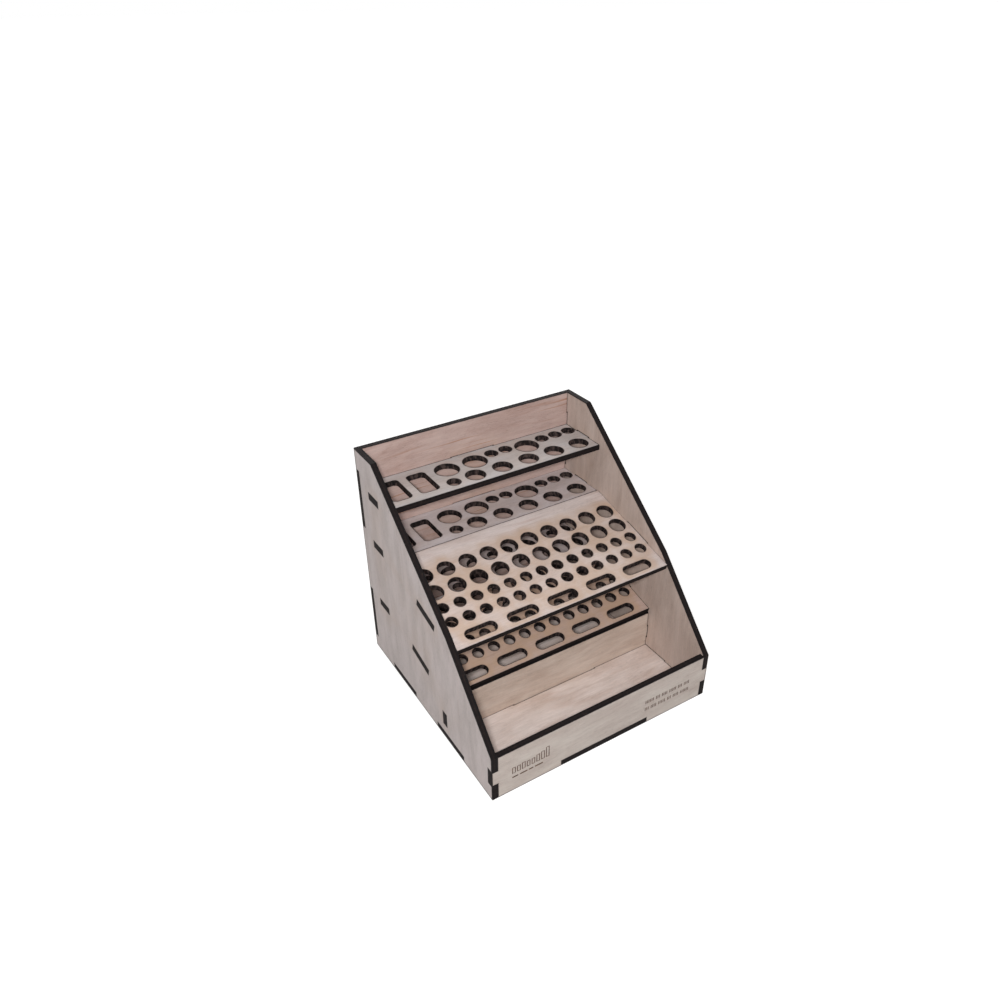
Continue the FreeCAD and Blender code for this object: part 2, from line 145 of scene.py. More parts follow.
class NodeBench:
    """Short calls that lay shader nodes on the tree of a material, a lamp or the world."""

    BELOW, ABOVE = 6, 7  # the mix node's two colour inputs

    def __init__(self, tree: bpy.types.NodeTree) -> None:
        """Start from an empty tree."""
        self.tree = tree
        tree.nodes.clear()

    def node(self, kind: str, **settings: object) -> bpy.types.Node:
        """Add a node and set its properties.

        Args:
            kind: The node's type name.
            **settings: Properties of the node itself.

        Returns:
            The new node.
        """
        made = self.tree.nodes.new(kind)
        for name, value in settings.items():
            setattr(made, name, value)
        return made

    def feed(self, socket: bpy.types.NodeSocket, value: object) -> None:
        """Link a socket to another, or set it to a plain value.

        Args:
            socket: The input to fill.
            value: An output socket, a number, a vector or a colour.
        """
        if isinstance(value, bpy.types.NodeSocket):
            self.tree.links.new(value, socket)
        else:
            socket.default_value = value

    def math(self, operation: str, *values: object, clamp: bool = False) -> bpy.types.NodeSocket:
        """Add a math node.

        Args:
            operation: Name of the operation, such as MULTIPLY.
            *values: Its inputs, in order.
            clamp: Whether the result is held between 0 and 1.

        Returns:
            The result's socket.
        """
        made = self.node("ShaderNodeMath", operation=operation, use_clamp=clamp)
        for socket, value in zip(made.inputs, values):
            self.feed(socket, value)
        return made.outputs[0]

    def line(
        self, value: object, slope: object, offset: object, clamp: bool = False
    ) -> bpy.types.NodeSocket:
        """Multiply a value by a slope and add an offset, held between 0 and 1 if asked."""
        return self.math("MULTIPLY_ADD", value, slope, offset, clamp=clamp)

    def times(self, *values: object) -> bpy.types.NodeSocket:
        """Multiply several values.

        Args:
            *values: The values, two or more.

        Returns:
            Their product's socket.
        """
        product = values[0]
        for value in values[1:]:
            product = self.math("MULTIPLY", product, value)
        return product

    def sway(self, noise: object, amount: float) -> bpy.types.NodeSocket:
        """Turn a noise into a factor that sways around one."""
        return self.line(noise, amount, 1.0 - amount / 2)

    def ease(self, value: object, ease: Ease) -> bpy.types.NodeSocket:
        """Ease a value from one level to another.

        Args:
            value: The socket that is read.
            ease: The limits and the levels.

        Returns:
            The result's socket.
        """
        made = self.node("ShaderNodeMapRange", interpolation_type="SMOOTHSTEP")
        for socket, level in zip(made.inputs, (value, ease.start, ease.end, ease.before, ease.after)):
            self.feed(socket, level)
        return made.outputs[0]

    def split(self, vector: object) -> bpy.types.NodeOutputs:
        """Take a vector apart.

        Args:
            vector: The vector's socket.

        Returns:
            The sockets of its three parts.
        """
        made = self.node("ShaderNodeSeparateXYZ")
        self.feed(made.inputs[0], vector)
        return made.outputs

    def noise(self, vector: object, speckle: Speckle) -> bpy.types.NodeSocket:
        """Sample smooth noise on stretched coordinates.

        Args:
            vector: Coordinates in millimetres.
            speckle: The noise.

        Returns:
            The noise value's socket, around one half.
        """
        stretched = self.node("ShaderNodeVectorMath", operation="MULTIPLY")
        self.feed(stretched.inputs[0], vector)
        self.feed(stretched.inputs[1], speckle.cells)
        made = self.node("ShaderNodeTexNoise", noise_dimensions="3D")
        self.feed(made.inputs["Vector"], stretched.outputs[0])
        self.feed(made.inputs["Scale"], 1.0)
        self.feed(made.inputs["Detail"], speckle.detail)
        self.feed(made.inputs["Roughness"], speckle.roughness)
        return made.outputs["Fac"]

    def mix(self, amount: object, below: object, above: object) -> bpy.types.NodeSocket:
        """Blend two colours.

        Args:
            amount: Share of the second colour.
            below: First colour.
            above: Second colour.

        Returns:
            The blended colour's socket.
        """
        made = self.node("ShaderNodeMix", data_type="RGBA", blend_type="MIX")
        self.feed(made.inputs[0], amount)
        self.feed(made.inputs[self.BELOW], below)
        self.feed(made.inputs[self.ABOVE], above)
        return made.outputs[2]

    def shade(self, colour: object, factor: object) -> bpy.types.NodeSocket:
        """Multiply a colour by one number.

        Args:
            colour: The colour socket.
            factor: The number's socket.

        Returns:
            The darker or lighter colour's socket.
        """
        made = self.node("ShaderNodeVectorMath", operation="SCALE")
        self.feed(made.inputs[0], colour)
        self.feed(made.inputs["Scale"], factor)
        return made.outputs[0]

    def attribute(self, name: str, output: str = "Fac") -> bpy.types.NodeSocket:
        """Read a mesh attribute from one of its node's outputs."""
        return self.node("ShaderNodeAttribute", attribute_name=name).outputs[output]

    def output(self, shader: object, kind: str = "ShaderNodeOutputMaterial") -> None:
        """End the tree with a shader."""
        self.feed(self.node(kind).inputs[0], shader)

    def dress(
        self, colour: object, roughness: object, gloss: float, height: object, relief: Relief
    ) -> None:
        """End a material with colour, roughness and fine relief that vary over the sheet.

        Args:
            colour: Base colour.
            roughness: Roughness.
            gloss: Specular level.
            height: Height of the relief, around one half.
            relief: Its strength and depth.
        """
        bump = self.node("ShaderNodeBump")
        self.feed(bump.inputs["Strength"], relief.strength)
        self.feed(bump.inputs["Distance"], relief.depth * MM)
        self.feed(bump.inputs["Height"], height)
        shader = self.node("ShaderNodeBsdfPrincipled")
        self.feed(shader.inputs["Base Color"], colour)
        self.feed(shader.inputs["Roughness"], roughness)
        self.feed(shader.inputs["Specular IOR Level"], gloss)
        self.feed(shader.inputs["Normal"], bump.outputs[0])
        self.output(shader.outputs[0])


def new_material(name: str) -> tuple[bpy.types.Material, NodeBench]:
    """Start a material.

    Args:
        name: Its name.

    Returns:
        The material and a bench on its empty tree.
    """
    made = bpy.data.materials.new(name)
    made.use_nodes = True
    return made, NodeBench(made.node_tree)


class Birch:
    """How peeled birch varies over a sheet: its noises, and the levels at which they are read."""

    DRIFT = Speckle((0.011, 0.028, 9.0), 1.5)
    DRIFT_SIDEWAYS = 9.0  # millimetres that the fibres wander from the straight
    SWELL = Speckle((0.0075, 0.034, 7.0), 1.2, 0.45)
    SWELL_LINES = 11.0  # growth lines between the swell's two ends
    STREAK = Speckle((0.06, 1.1, 6.0), 3.0, 0.62)
    STREAK_WAVES = 0.5  # how much the streaks fray a growth line
    LINE_CORE = Ease(0.4, 0.5, 0.0, 0.6)
    LINE_HALO = Ease(0.1, 0.5, 0.0, 0.4)
    FIGURE_PATCH = Speckle((0.02, 0.07, 5.0))
    FIGURE_SHOWS = Ease(0.36, 0.62, 0.25, 1.0)
    MOTTLE = Speckle((0.03, 0.11, 6.0), 3.0, 0.55)
    MOTTLE_WARMS = Ease(0.3, 0.72, 0.0, 0.55)
    MOTTLE_SHADE = -0.2
    FINE = Speckle((0.35, 6.5, 6.0), 2.0, 0.65)
    FINE_SHADE = 0.42
    PORES = Speckle((0.42, 4.6, 4.0), 1.0)
    PORE_MOUTH = Ease(0.62, 0.72)
    PORE_PATCH = Ease(0.35, 0.6, 0.3, 1.0)
    PORE_SHADE = -0.3
    VEIN = Speckle((0.0065, 0.5, 3.0), 2.0, 0.55)
    VEIN_CORE = Ease(0.6, 0.72)
    VEIN_PATCH = Speckle((0.02, 0.05, 8.0), 1.0)
    VEIN_SHOWS = Ease(0.4, 0.62)
    GLOSS = 0.35
    STREAK_ROUGH = 0.16  # how much the streaks change the roughness
    RELIEF = Relief(0.45, 0.06)
    FINE_RELIEF = 0.7


class Burn:
    """How the laser's smoke and char vary beside a cut."""

    CLOUDS = Speckle((0.035, 0.05, 1.0), 3.0, 0.6)
    CLOUD_SHOWS = Ease(0.36, 0.6, 0.35, 1.0)
    SMOKE_NEAR = 0.3  # share of the smoke's reach where it is still full
    UNEVEN = Speckle((0.42, 0.42, 2.0), 2.0, 0.6)
    SCORCH_SLOPE = 1.1
    SCORCH_LEAST = 0.45
    RAGGED = 0.22  # millimetres that the burnt rim's border wanders
    RIM_SOFT_IN = 0.14
    RIM_SOFT_OUT = 0.12
    RIM_ROUGH = 0.2
    RIM_SUNK = -0.8


@dataclass(frozen=True)
class BirchVeneer:
    """Sanded face veneer of birch, with smoke stain beside the cuts.

    Attributes:
        name: The material's name.
        pale: Colour of the early wood.
        warm: Colour of the late wood, between the pale bands.
        vein: Colour of the thin heartwood lines.
        figure: Strength of the curved growth lines.
        veins: Strength of the heartwood lines.
        streaks: Strength of the long light and dark streaks.
        smoke: Strength of the amber smoke stain around the holes.
        amber: Colour of that stain where it is strongest.
        smoke_reach: How far it drifts from a hole, in millimetres.
        scorch: Colour of the thin brown rim beside every cut.
        scorch_reach: Width of that rim, in millimetres.
        char: Colour of the burnt arris itself.
        rim: Width of the burnt arris, in millimetres.
        roughness: Roughness of the sanded wood.
    """

    name: str
    pale: Triple
    warm: Triple
    vein: Triple = (150, 98, 62)
    figure: float = 0.3
    veins: float = 0.3
    streaks: float = 0.36
    smoke: float = 0.2
    amber: Triple = (184, 152, 124)
    smoke_reach: float = 8.0
    scorch: Triple = (86, 62, 51)
    scorch_reach: float = 0.36
    char: Triple = (28, 20, 19)
    rim: float = 0.42
    roughness: float = 0.62

    def material(self) -> bpy.types.Material:
        """Lay out the veneer's nodes.

        Returns:
            The finished material.
        """
        made, bench = new_material(self.name)
        sheet = bench.attribute("sheet", "Vector")
        fibre = self._fibre(bench, sheet)
        streak = bench.noise(fibre, Birch.STREAK)
        mottle = bench.noise(fibre, Birch.MOTTLE)
        fine = bench.noise(fibre, Birch.FINE)
        pores = bench.ease(bench.noise(fibre, Birch.PORES), Birch.PORE_MOUTH)
        pores = bench.times(pores, bench.ease(mottle, Birch.PORE_PATCH))
        wood = self._figured(bench, fibre, streak, mottle)
        light = bench.times(
            bench.sway(streak, self.streaks),
            bench.sway(fine, Birch.FINE_SHADE),
            bench.line(pores, Birch.PORE_SHADE, 1.0),
            bench.sway(mottle, Birch.MOTTLE_SHADE),
        )
        wood = self._smoked(bench, sheet, bench.shade(wood, light))
        wood, burnt = self._charred(bench, sheet, wood)
        rough = bench.line(streak, Birch.STREAK_ROUGH, self.roughness - Birch.STREAK_ROUGH / 2)
        rough = bench.line(burnt, Burn.RIM_ROUGH, rough, clamp=True)
        height = bench.line(pores, -1.0, bench.line(fine, Birch.FINE_RELIEF, streak))
        height = bench.line(burnt, Burn.RIM_SUNK, height)
        bench.dress(wood, rough, Birch.GLOSS, height, Birch.RELIEF)
        return made

    @staticmethod
    def _fibre(bench: NodeBench, sheet: object) -> bpy.types.NodeSocket:
        """Let the fibres wander a little from the straight.

        Args:
            bench: The tree to work on.
            sheet: Coordinates on the sheet.

        Returns:
            Coordinates along and across the fibres.
        """
        along, across, through = bench.split(sheet)
        across = bench.line(bench.noise(sheet, Birch.DRIFT), Birch.DRIFT_SIDEWAYS, across)
        joined = bench.node("ShaderNodeCombineXYZ")
        for socket, value in zip(joined.inputs, (along, across, through)):
            bench.feed(socket, value)
        return joined.outputs[0]

    def _figured(
        self, bench: NodeBench, fibre: object, streak: object, mottle: object
    ) -> bpy.types.NodeSocket:
        """Colour the bare wood: growth lines are the contours of one slow swell, as in peeled veneer.

        Args:
            bench: The tree to work on.
            fibre: Coordinates along the fibres.
            streak: The streaks' noise.
            mottle: The mottle's noise.

        Returns:
            The wood's colour.
        """
        swell = bench.times(bench.noise(fibre, Birch.SWELL), Birch.SWELL_LINES)
        rings = bench.math("PINGPONG", bench.line(streak, Birch.STREAK_WAVES, swell), 0.5)
        lines = bench.math("ADD", bench.ease(rings, Birch.LINE_CORE), bench.ease(rings, Birch.LINE_HALO))
        patch = bench.ease(bench.noise(fibre, Birch.FIGURE_PATCH), Birch.FIGURE_SHOWS)
        warmth = bench.ease(mottle, Birch.MOTTLE_WARMS)
        tone = bench.line(bench.times(lines, patch), self.figure, warmth, clamp=True)
        wood = bench.mix(tone, linear(self.pale), linear(self.warm))
        core = bench.ease(bench.noise(fibre, Birch.VEIN), Birch.VEIN_CORE)
        shows = bench.ease(bench.noise(fibre, Birch.VEIN_PATCH), Birch.VEIN_SHOWS)
        return bench.mix(bench.times(core, shows, self.veins), wood, linear(self.vein))

    def _smoked(self, bench: NodeBench, sheet: object, wood: object) -> bpy.types.NodeSocket:
        """Let amber smoke drift from the holes in patches.

        Args:
            bench: The tree to work on.
            sheet: Coordinates on the sheet.
            wood: The wood's colour.

        Returns:
            The stained colour.
        """
        reach = Ease(Burn.SMOKE_NEAR * self.smoke_reach, self.smoke_reach, 1.0, 0.0)
        drifted = bench.ease(bench.attribute("hole_distance"), reach)
        clouds = bench.ease(bench.noise(sheet, Burn.CLOUDS), Burn.CLOUD_SHOWS)
        return bench.mix(bench.times(drifted, clouds, self.smoke), wood, linear(self.amber))

    def _charred(
        self, bench: NodeBench, sheet: object, wood: object
    ) -> tuple[bpy.types.NodeSocket, bpy.types.NodeSocket]:
        """Lay the brown scorch and the burnt rim beside the cuts.

        Args:
            bench: The tree to work on.
            sheet: Coordinates on the sheet.
            wood: The wood's colour.

        Returns:
            The colour with its rims, and how burnt each place is.
        """
        cut = bench.attribute("cut_distance")
        uneven = bench.noise(sheet, Burn.UNEVEN)
        reach = bench.times(cut, bench.line(uneven, Burn.SCORCH_SLOPE, Burn.SCORCH_LEAST))
        brown = bench.math("EXPONENT", bench.times(reach, -1.0 / self.scorch_reach))
        wood = bench.mix(brown, wood, linear(self.scorch))
        border = bench.line(uneven, Burn.RAGGED, bench.math("SUBTRACT", cut, Burn.RAGGED / 2))
        rim = Ease(self.rim - Burn.RIM_SOFT_IN, self.rim + Burn.RIM_SOFT_OUT, 1.0, 0.0)
        burnt = bench.ease(border, rim)
        return bench.mix(burnt, wood, linear(self.char)), burnt


class Char:
    """How the charred edge of a sheet varies: its noises, and the levels at which they are read."""

    RIDGES = Speckle((3.1, 3.1, 0.16), 2.0, 0.6)  # the beam leaves them straight through the sheet
    RIDGE_SHADE = 0.9
    RIDGE_ROUGH = -0.24
    WAVES = Speckle((0.5, 0.5, 0.2), 3.0, 0.6)
    WORN = Speckle((0.16, 0.16, 0.6), 3.0, 0.65)
    WORN_SHOWS = Ease(0.56, 0.74)
    WORN_RIDGES = Ease(0.38, 0.68)
    WORN_MOST = 0.7
    PLY_SOFT = 0.1  # millimetres over which one ply turns into the next
    GLUE_LINE = Ease(0.04, 0.13, 1.0, 0.0)
    GLUE_SHADE = -0.45
    GLUE_SUNK = -0.7
    IN_HOLE = Ease(0.2, 1.0, 1.0, 0.0)
    BLOOM_SHOWS = Ease(0.46, 0.6, 0.0, 0.7)
    GLOSS = 0.1
    RELIEF = Relief(0.7, 0.08)


@dataclass(frozen=True)
class CharredEdge:
    """Laser-cut plywood edge: three plies under a skin of char.

    Attributes:
        name: The material's name.
        char: Colour of the burnt outer plies.
        core: Colour of the burnt core.
        rubbed: Colour where the char has worn thin.
        ash: Colour of the grey-brown bloom on the walls of the holes.
        ply: Distance of the glue lines from the mid-plane, in millimetres.
        roughness: Roughness of the char.
    """

    name: str = "charred_ply_edge"
    char: Triple = (23, 19, 20)
    core: Triple = (36, 28, 27)
    rubbed: Triple = (72, 57, 49)
    ash: Triple = (84, 71, 68)
    ply: float = 0.72
    roughness: float = 0.78

    def material(self) -> bpy.types.Material:
        """Lay out the edge's nodes.

        Returns:
            The finished material.
        """
        made, bench = new_material(self.name)
        sheet = bench.attribute("sheet", "Vector")
        depth = bench.math("ABSOLUTE", bench.split(sheet)[2])
        core = bench.ease(depth, Ease(self.ply - Char.PLY_SOFT, self.ply + Char.PLY_SOFT, 1.0, 0.0))
        glue = bench.math("ABSOLUTE", bench.math("SUBTRACT", depth, self.ply))
        glue = bench.ease(glue, Char.GLUE_LINE)
        ridges = bench.noise(sheet, Char.RIDGES)
        waves = bench.noise(sheet, Char.WAVES)
        worn = bench.ease(bench.noise(sheet, Char.WORN), Char.WORN_SHOWS)
        rubbed = bench.times(worn, bench.ease(ridges, Char.WORN_RIDGES), Char.WORN_MOST)
        hole = bench.ease(bench.attribute("hole_distance"), Char.IN_HOLE)
        bloom = bench.times(hole, bench.ease(waves, Char.BLOOM_SHOWS))
        colour = bench.mix(bench.times(core, waves), linear(self.char), linear(self.core))
        colour = bench.mix(rubbed, colour, linear(self.rubbed))
        colour = bench.mix(bloom, colour, linear(self.ash))
        colour = bench.shade(colour, bench.sway(ridges, Char.RIDGE_SHADE))
        colour = bench.shade(colour, bench.line(glue, Char.GLUE_SHADE, 1.0))
        rough = bench.line(ridges, Char.RIDGE_ROUGH, self.roughness - Char.RIDGE_ROUGH / 2)
        height = bench.line(glue, Char.GLUE_SUNK, ridges)
        bench.dress(colour, rough, Char.GLOSS, height, Char.RELIEF)
        return made


class Scan:
    """How the floor of an engraving varies."""

    LINES = Speckle((0.8, 7.0, 1.0), 2.0, 0.6)
    LINE_SHARE = 0.5
    LINE_ROUGH = 0.2
    PATCH = Speckle((0.4, 0.4, 1.0), 2.0, 0.6)
    DARKENS = Ease(0.5, 1.0)
    GLOSS = 0.25
    RELIEF = Relief(0.6, 0.08)


@dataclass(frozen=True)
class EngravedWood:
    """Floor of a shallow laser engraving.

    Attributes:
        name: The material's name.
        toasted: Its colour where the beam was weak.
        dark: Its colour where the beam was strong.
        roughness: Least roughness.
    """

    name: str = "engraved_birch"
    toasted: Triple = (108, 80, 62)
    dark: Triple = (60, 42, 32)
    roughness: float = 0.7

    def material(self) -> bpy.types.Material:
        """Lay out the engraving's nodes.

        Returns:
            The finished material.
        """
        made, bench = new_material(self.name)
        sheet = bench.attribute("sheet", "Vector")
        scan = bench.noise(sheet, Scan.LINES)
        beam = bench.ease(bench.line(scan, Scan.LINE_SHARE, bench.noise(sheet, Scan.PATCH)), Scan.DARKENS)
        colour = bench.mix(beam, linear(self.toasted), linear(self.dark))
        rough = bench.line(scan, Scan.LINE_ROUGH, self.roughness)
        bench.dress(colour, rough, Scan.GLOSS, scan, Scan.RELIEF)
        return made


@dataclass(frozen=True)
class FlatFrame:
    """Where a sheet lies: its mid-plane, its grain and its better face.

    Attributes:
        origin: A point on the mid-plane, in metres.
        along: Unit vector along the grain.
        across: Unit vector across the grain.
        out: Unit vector out of the better face.
        thickness: The sheet's thickness in millimetres.
    """

    origin: Vector
    along: Vector
    across: Vector
    out: Vector
    thickness: float

    def flatten(self, point: Vector) -> tuple[float, float]:
        """Give a point's place on the sheet, in millimetres."""
        offset = (point - self.origin) / MM
        return (offset.dot(self.along), offset.dot(self.across))

    def place(self, flat: np.ndarray, height: float) -> np.ndarray:
        """Put points on the sheet, some millimetres over its mid-plane, back in the stand's frame."""
        base = np.array(self.origin) + np.array(self.out) * height * MM
        return base + flat[:, :1] * MM * np.array(self.along) + flat[:, 1:] * MM * np.array(self.across)


class CutLines:
    """The laser's path on one sheet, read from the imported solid."""

    NORMAL_STEPS = 100  # normals that agree to a hundredth face the same way
    POINT_STEPS = 1e6  # points that agree to a micrometre are one
    LEVEL = 1e-5  # metres that a point of the better face may lie below it
    STRAIGHT = 1e-3  # sine of the least turn that is a corner

    def __init__(self, node: str, grain: Grain, face: Face) -> None:
        """Read a node's broad face and chain its boundary.

        Args:
            node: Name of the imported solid.
            grain: Direction of the face veneer.
            face: Side that the better face looks to.
        """
        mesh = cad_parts[node].data
        mesh.calc_loop_triangles()
        facing: dict[tuple[int, ...], Vector] = {}
        for polygon in mesh.polygons:
            key = tuple(round(c * self.NORMAL_STEPS) for c in polygon.normal)
            facing[key] = facing.get(key, Vector()) + polygon.normal * polygon.area
        broad = sorted(facing.values(), key=lambda total: -total.length)[:2]
        out = max(broad, key=lambda total: total.dot(Vector(face.value))).normalized()
        heights = [v.co.dot(out) for v in mesh.vertices]
        top, low = max(heights), min(heights)
        along = Vector(grain.value)
        across = out.cross(along).normalized()
        self.flat = FlatFrame(out * (top + low) / 2, along, across, out, (top - low) / MM)
        self.loops = self._chain(mesh, out, top)

    def _chain(self, mesh: bpy.types.Mesh, out: Vector, top: float) -> list[Loop]:
        """Join the boundary edges of the better face into closed loops.

        Args:
            mesh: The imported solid's mesh.
            out: Normal of the better face.
            top: Height of that face along the normal, in metres.

        Returns:
            Loops with the wood on their left, the outer contour first.
        """
        keys: dict[tuple[int, ...], int] = {}
        places: list[Vector] = []
        number: list[int] = []
        for vertex in mesh.vertices:
            key = tuple(round(c * self.POINT_STEPS) for c in vertex.co)
            if key not in keys:
                keys[key] = len(places)
                places.append(vertex.co)
            number.append(keys[key])
        directed = set()
        for triangle in mesh.loop_triangles:
            corners = [number[i] for i in triangle.vertices]
            if all(top - places[c].dot(out) < self.LEVEL for c in corners):
                directed.update(zip(corners, corners[1:] + corners[:1]))
        follow = {a: b for a, b in directed if (b, a) not in directed}
        loops = []
        while follow:
            start, here = follow.popitem()
            chain = [start]
            while here != start:
                chain.append(here)
                here = follow.pop(here)
            loops.append(self._tidy(np.array([self.flat.flatten(places[c]) for c in chain])))
        return sorted(loops, key=lambda points: -float(np.ptp(points[:, 0]) * np.ptp(points[:, 1])))

    def _tidy(self, points: Loop) -> Loop:
        """Drop the points that lie on a straight cut.

        Args:
            points: One closed loop.

        Returns:
            The loop with its corners and arcs only.
        """
        before = points - np.roll(points, 1, axis=0)
        after = np.roll(points, -1, axis=0) - points
        turn = before[:, 0] * after[:, 1] - before[:, 1] * after[:, 0]
        size = np.linalg.norm(before, axis=1) * np.linalg.norm(after, axis=1)
        return points[np.abs(turn) > self.STRAIGHT * size]


def offset_loop(points: Loop, distance: float) -> Loop:
    """Move a loop into the wood, keeping its corners mitred.

    Args:
        points: A loop with the wood on its left.
        distance: How far to move it, in millimetres.

    Returns:
        The moved loop.
    """
    after = np.roll(points, -1, axis=0) - points
    after /= np.linalg.norm(after, axis=1)[:, None]
    left = np.stack([-after[:, 1], after[:, 0]], axis=1)
    before = np.roll(left, 1, axis=0)
    share = 1 + np.sum(left * before, axis=1)
    return points + distance * (left + before) / share[:, None]


def distance_to_cuts(points: np.ndarray, loops: list[Loop], search: float = 8.0) -> np.ndarray:
    """Measure how far points on a sheet are from the nearest cut.

    Args:
        points: Points on the sheet.
        loops: The sheet's cut lines.
        search: How far beyond a loop's box a point is still measured against it.

    Returns:
        One distance for each point in millimetres, infinite where no cut is near.
    """
    best = np.full(len(points), np.inf)
    for loop in loops:
        near = np.all((points > loop.min(0) - search) & (points < loop.max(0) + search), axis=1)
        if not near.any():
            continue
        here = points[near][:, None, :]
        span = np.roll(loop, -1, axis=0) - loop
        share = np.clip(np.sum((here - loop) * span, axis=2) / np.sum(span * span, axis=1), 0, 1)
        gap = np.linalg.norm(here - loop - share[..., None] * span, axis=2).min(axis=1)
        best[near] = np.minimum(best[near], gap)
    return best


def on_wood(points: np.ndarray, loops: list[Loop]) -> np.ndarray:
    """Say which points lie inside the outer contour and outside every hole.

    Args:
        points: Points on the sheet.
        loops: The outer contour and the holes.

    Returns:
        One truth value for each point.
    """
    crossings = np.zeros(len(points), int)
    for loop in loops:
        for (x0, y0), (x1, y1) in zip(loop, np.roll(loop, -1, axis=0)):
            hit = (y0 > points[:, 1]) != (y1 > points[:, 1])
            if hit.any():
                at = x0 + (points[:, 1] - y0) * (x1 - x0) / (y1 - y0)
                crossings += hit & (points[:, 0] < at)
    return crossings % 2 == 1


@dataclass
class SheetPiece:
    """One laser-cut piece of the stand.

    Attributes:
        node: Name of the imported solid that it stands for.
        grain: Direction of the face veneer.
        face: Side that the better face looks to.
        veneer: Finish of both broad faces.
        offcut: Where on the big sheet it was cut, so that no two pieces share a figure.
        marks: Engraved outlines on the better face, in sheet millimetres.
        broken_edge: Size of the tiny bevel that the beam leaves, in millimetres.
        rim_rows: Distances of the rings beside a cut, in millimetres.
        stain_rows: Distances of the looser rows of points beyond them.
        row_step: Least spacing of those points.
        row_least: Least number of points in one row beside one cut.
        row_slack: Share of its row's distance that a point must keep from every cut.
        engraving_depth: Depth of the marks.
        mark_distance: Distance from a cut that the marks' rims are coloured for, so they look unburnt.
        mark_clearance: Least distance of a stain row's points from a mark's box.
        smoke_limit: Distance from a hole beyond which its smoke no longer counts.
        outer_skin: How much narrower the burnt rim is along the outer contour than round the holes.
        crease: Least angle, in degrees, at which two faces meet in a sharp edge.
    """

    node: str
    grain: Grain
    face: Face
    veneer: BirchVeneer
    offcut: tuple[float, float]
    marks: list[Loop] = field(default_factory=list)
    broken_edge: float = 0.08
    rim_rows: tuple[float, ...] = (0.3, 0.55)
    stain_rows: tuple[float, ...] = (1.1, 1.9, 2.9, 4.2)
    row_step: float = 1.6
    row_least: int = 8
    row_slack: float = 0.97
    engraving_depth: float = 0.18
    mark_distance: float = 4.0
    mark_clearance: float = 0.2
    smoke_limit: float = 10.0
    outer_skin: float = 0.0
    crease: float = 30.0

    def build(self, finishes: "FinishShelf") -> bpy.types.Object:
        """Make the mesh, dress it and put it on the stand.

        Args:
            finishes: The shared materials.

        Returns:
            The finished piece.
        """
        self.lines = CutLines(self.node, self.grain, self.face)
        self.half = self.lines.flat.thickness / 2
        self.points: list[np.ndarray] = []
        self.flat_places: list[np.ndarray] = []
        self.cut_distance: list[float] = []
        self.faces: list[tuple[int, ...]] = []
        self.kinds: list[int] = []
        for upper, lower in zip(self._broad_face(1), self._broad_face(-1)):
            self._strip(lower, upper, Surface.CUT_EDGE, 1)
        piece = self._object()
        for finish in (self.veneer, finishes.edge, finishes.engraved):
            piece.data.materials.append(finishes.material(finish))
        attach(piece, "root")
        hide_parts(self.node)
        return piece

    def _ring(self, places: Loop, height: float, distance: float | np.ndarray) -> list[int]:
        """Add the points of one ring, or loose ones.

        Args:
            places: The points on the sheet.
            height: Their height over the mid-plane.
            distance: Distance from the nearest cut that they stand for.

        Returns:
            The numbers of the points.
        """
        first = len(self.cut_distance)
        self.points.append(self.lines.flat.place(places, height))
        shifted = places + np.array(self.offcut)
        self.flat_places.append(np.column_stack([shifted, np.full(len(places), height)]))
        self.cut_distance.extend(np.broadcast_to(distance, len(places)).tolist())
        return list(range(first, first + len(places)))

    def _strip(self, outer: list[int], inner: list[int], surface: Surface, side: int) -> None:
        """Join two rings by a band of faces.

        Args:
            outer: Ring on the side of the cut.
            inner: Ring on the side of the wood.
            surface: What the band is made of.
            side: 1 on the better face, -1 on the other.
        """
        for i in range(len(outer)):
            j = (i + 1) % len(outer)
            quad = (outer[i], outer[j], inner[j], inner[i])
            self.faces.append(quad if side > 0 else quad[::-1])
            self.kinds.append(surface.value)

    def _broad_face(self, side: int) -> list[list[int]]:
        """Make one broad face with its rims and stain rows.

        Args:
            side: 1 for the better face, -1 for the other.

        Returns:
            The rings where the walls of the cuts begin.
        """
        walls, inner, numbers = [], [], []
        level = side * self.half
        for index, loop in enumerate(self.lines.loops):
            skin = 0.0 if index else self.outer_skin
            wall = self._ring(loop, side * (self.half - self.broken_edge), 0.0)
            walls.append(wall)
            shoulder = self._ring(offset_loop(loop, self.broken_edge), level, self.broken_edge + skin)
            self._strip(wall, shoulder, Surface.CUT_EDGE, side)
            last = shoulder
            for row in self.rim_rows:
                moved = offset_loop(loop, row)
                ring = self._ring(moved, level, row + skin)
                self._strip(last, ring, Surface.VENEER, side)
                last = ring
            inner.append(moved)
            numbers.append(last)
        if side > 0:
            for mark in self.marks:
                inner.append(mark)
                numbers.append(self._engrave(mark))
        self._fill(inner, numbers, side)
        return walls

    def _engrave(self, mark: Loop) -> list[int]:
        """Sink one mark into the better face.

        Args:
            mark: Its outline.

        Returns:
            The ring where its wall begins.
        """
        ring = self._ring(mark, self.half, self.mark_distance)
        floor = self._ring(mark, self.half - self.engraving_depth, self.mark_distance)
        self._strip(floor, ring, Surface.ENGRAVED, 1)
        self.faces.append(tuple(floor[::-1]))
        self.kinds.append(Surface.ENGRAVED.value)
        return ring

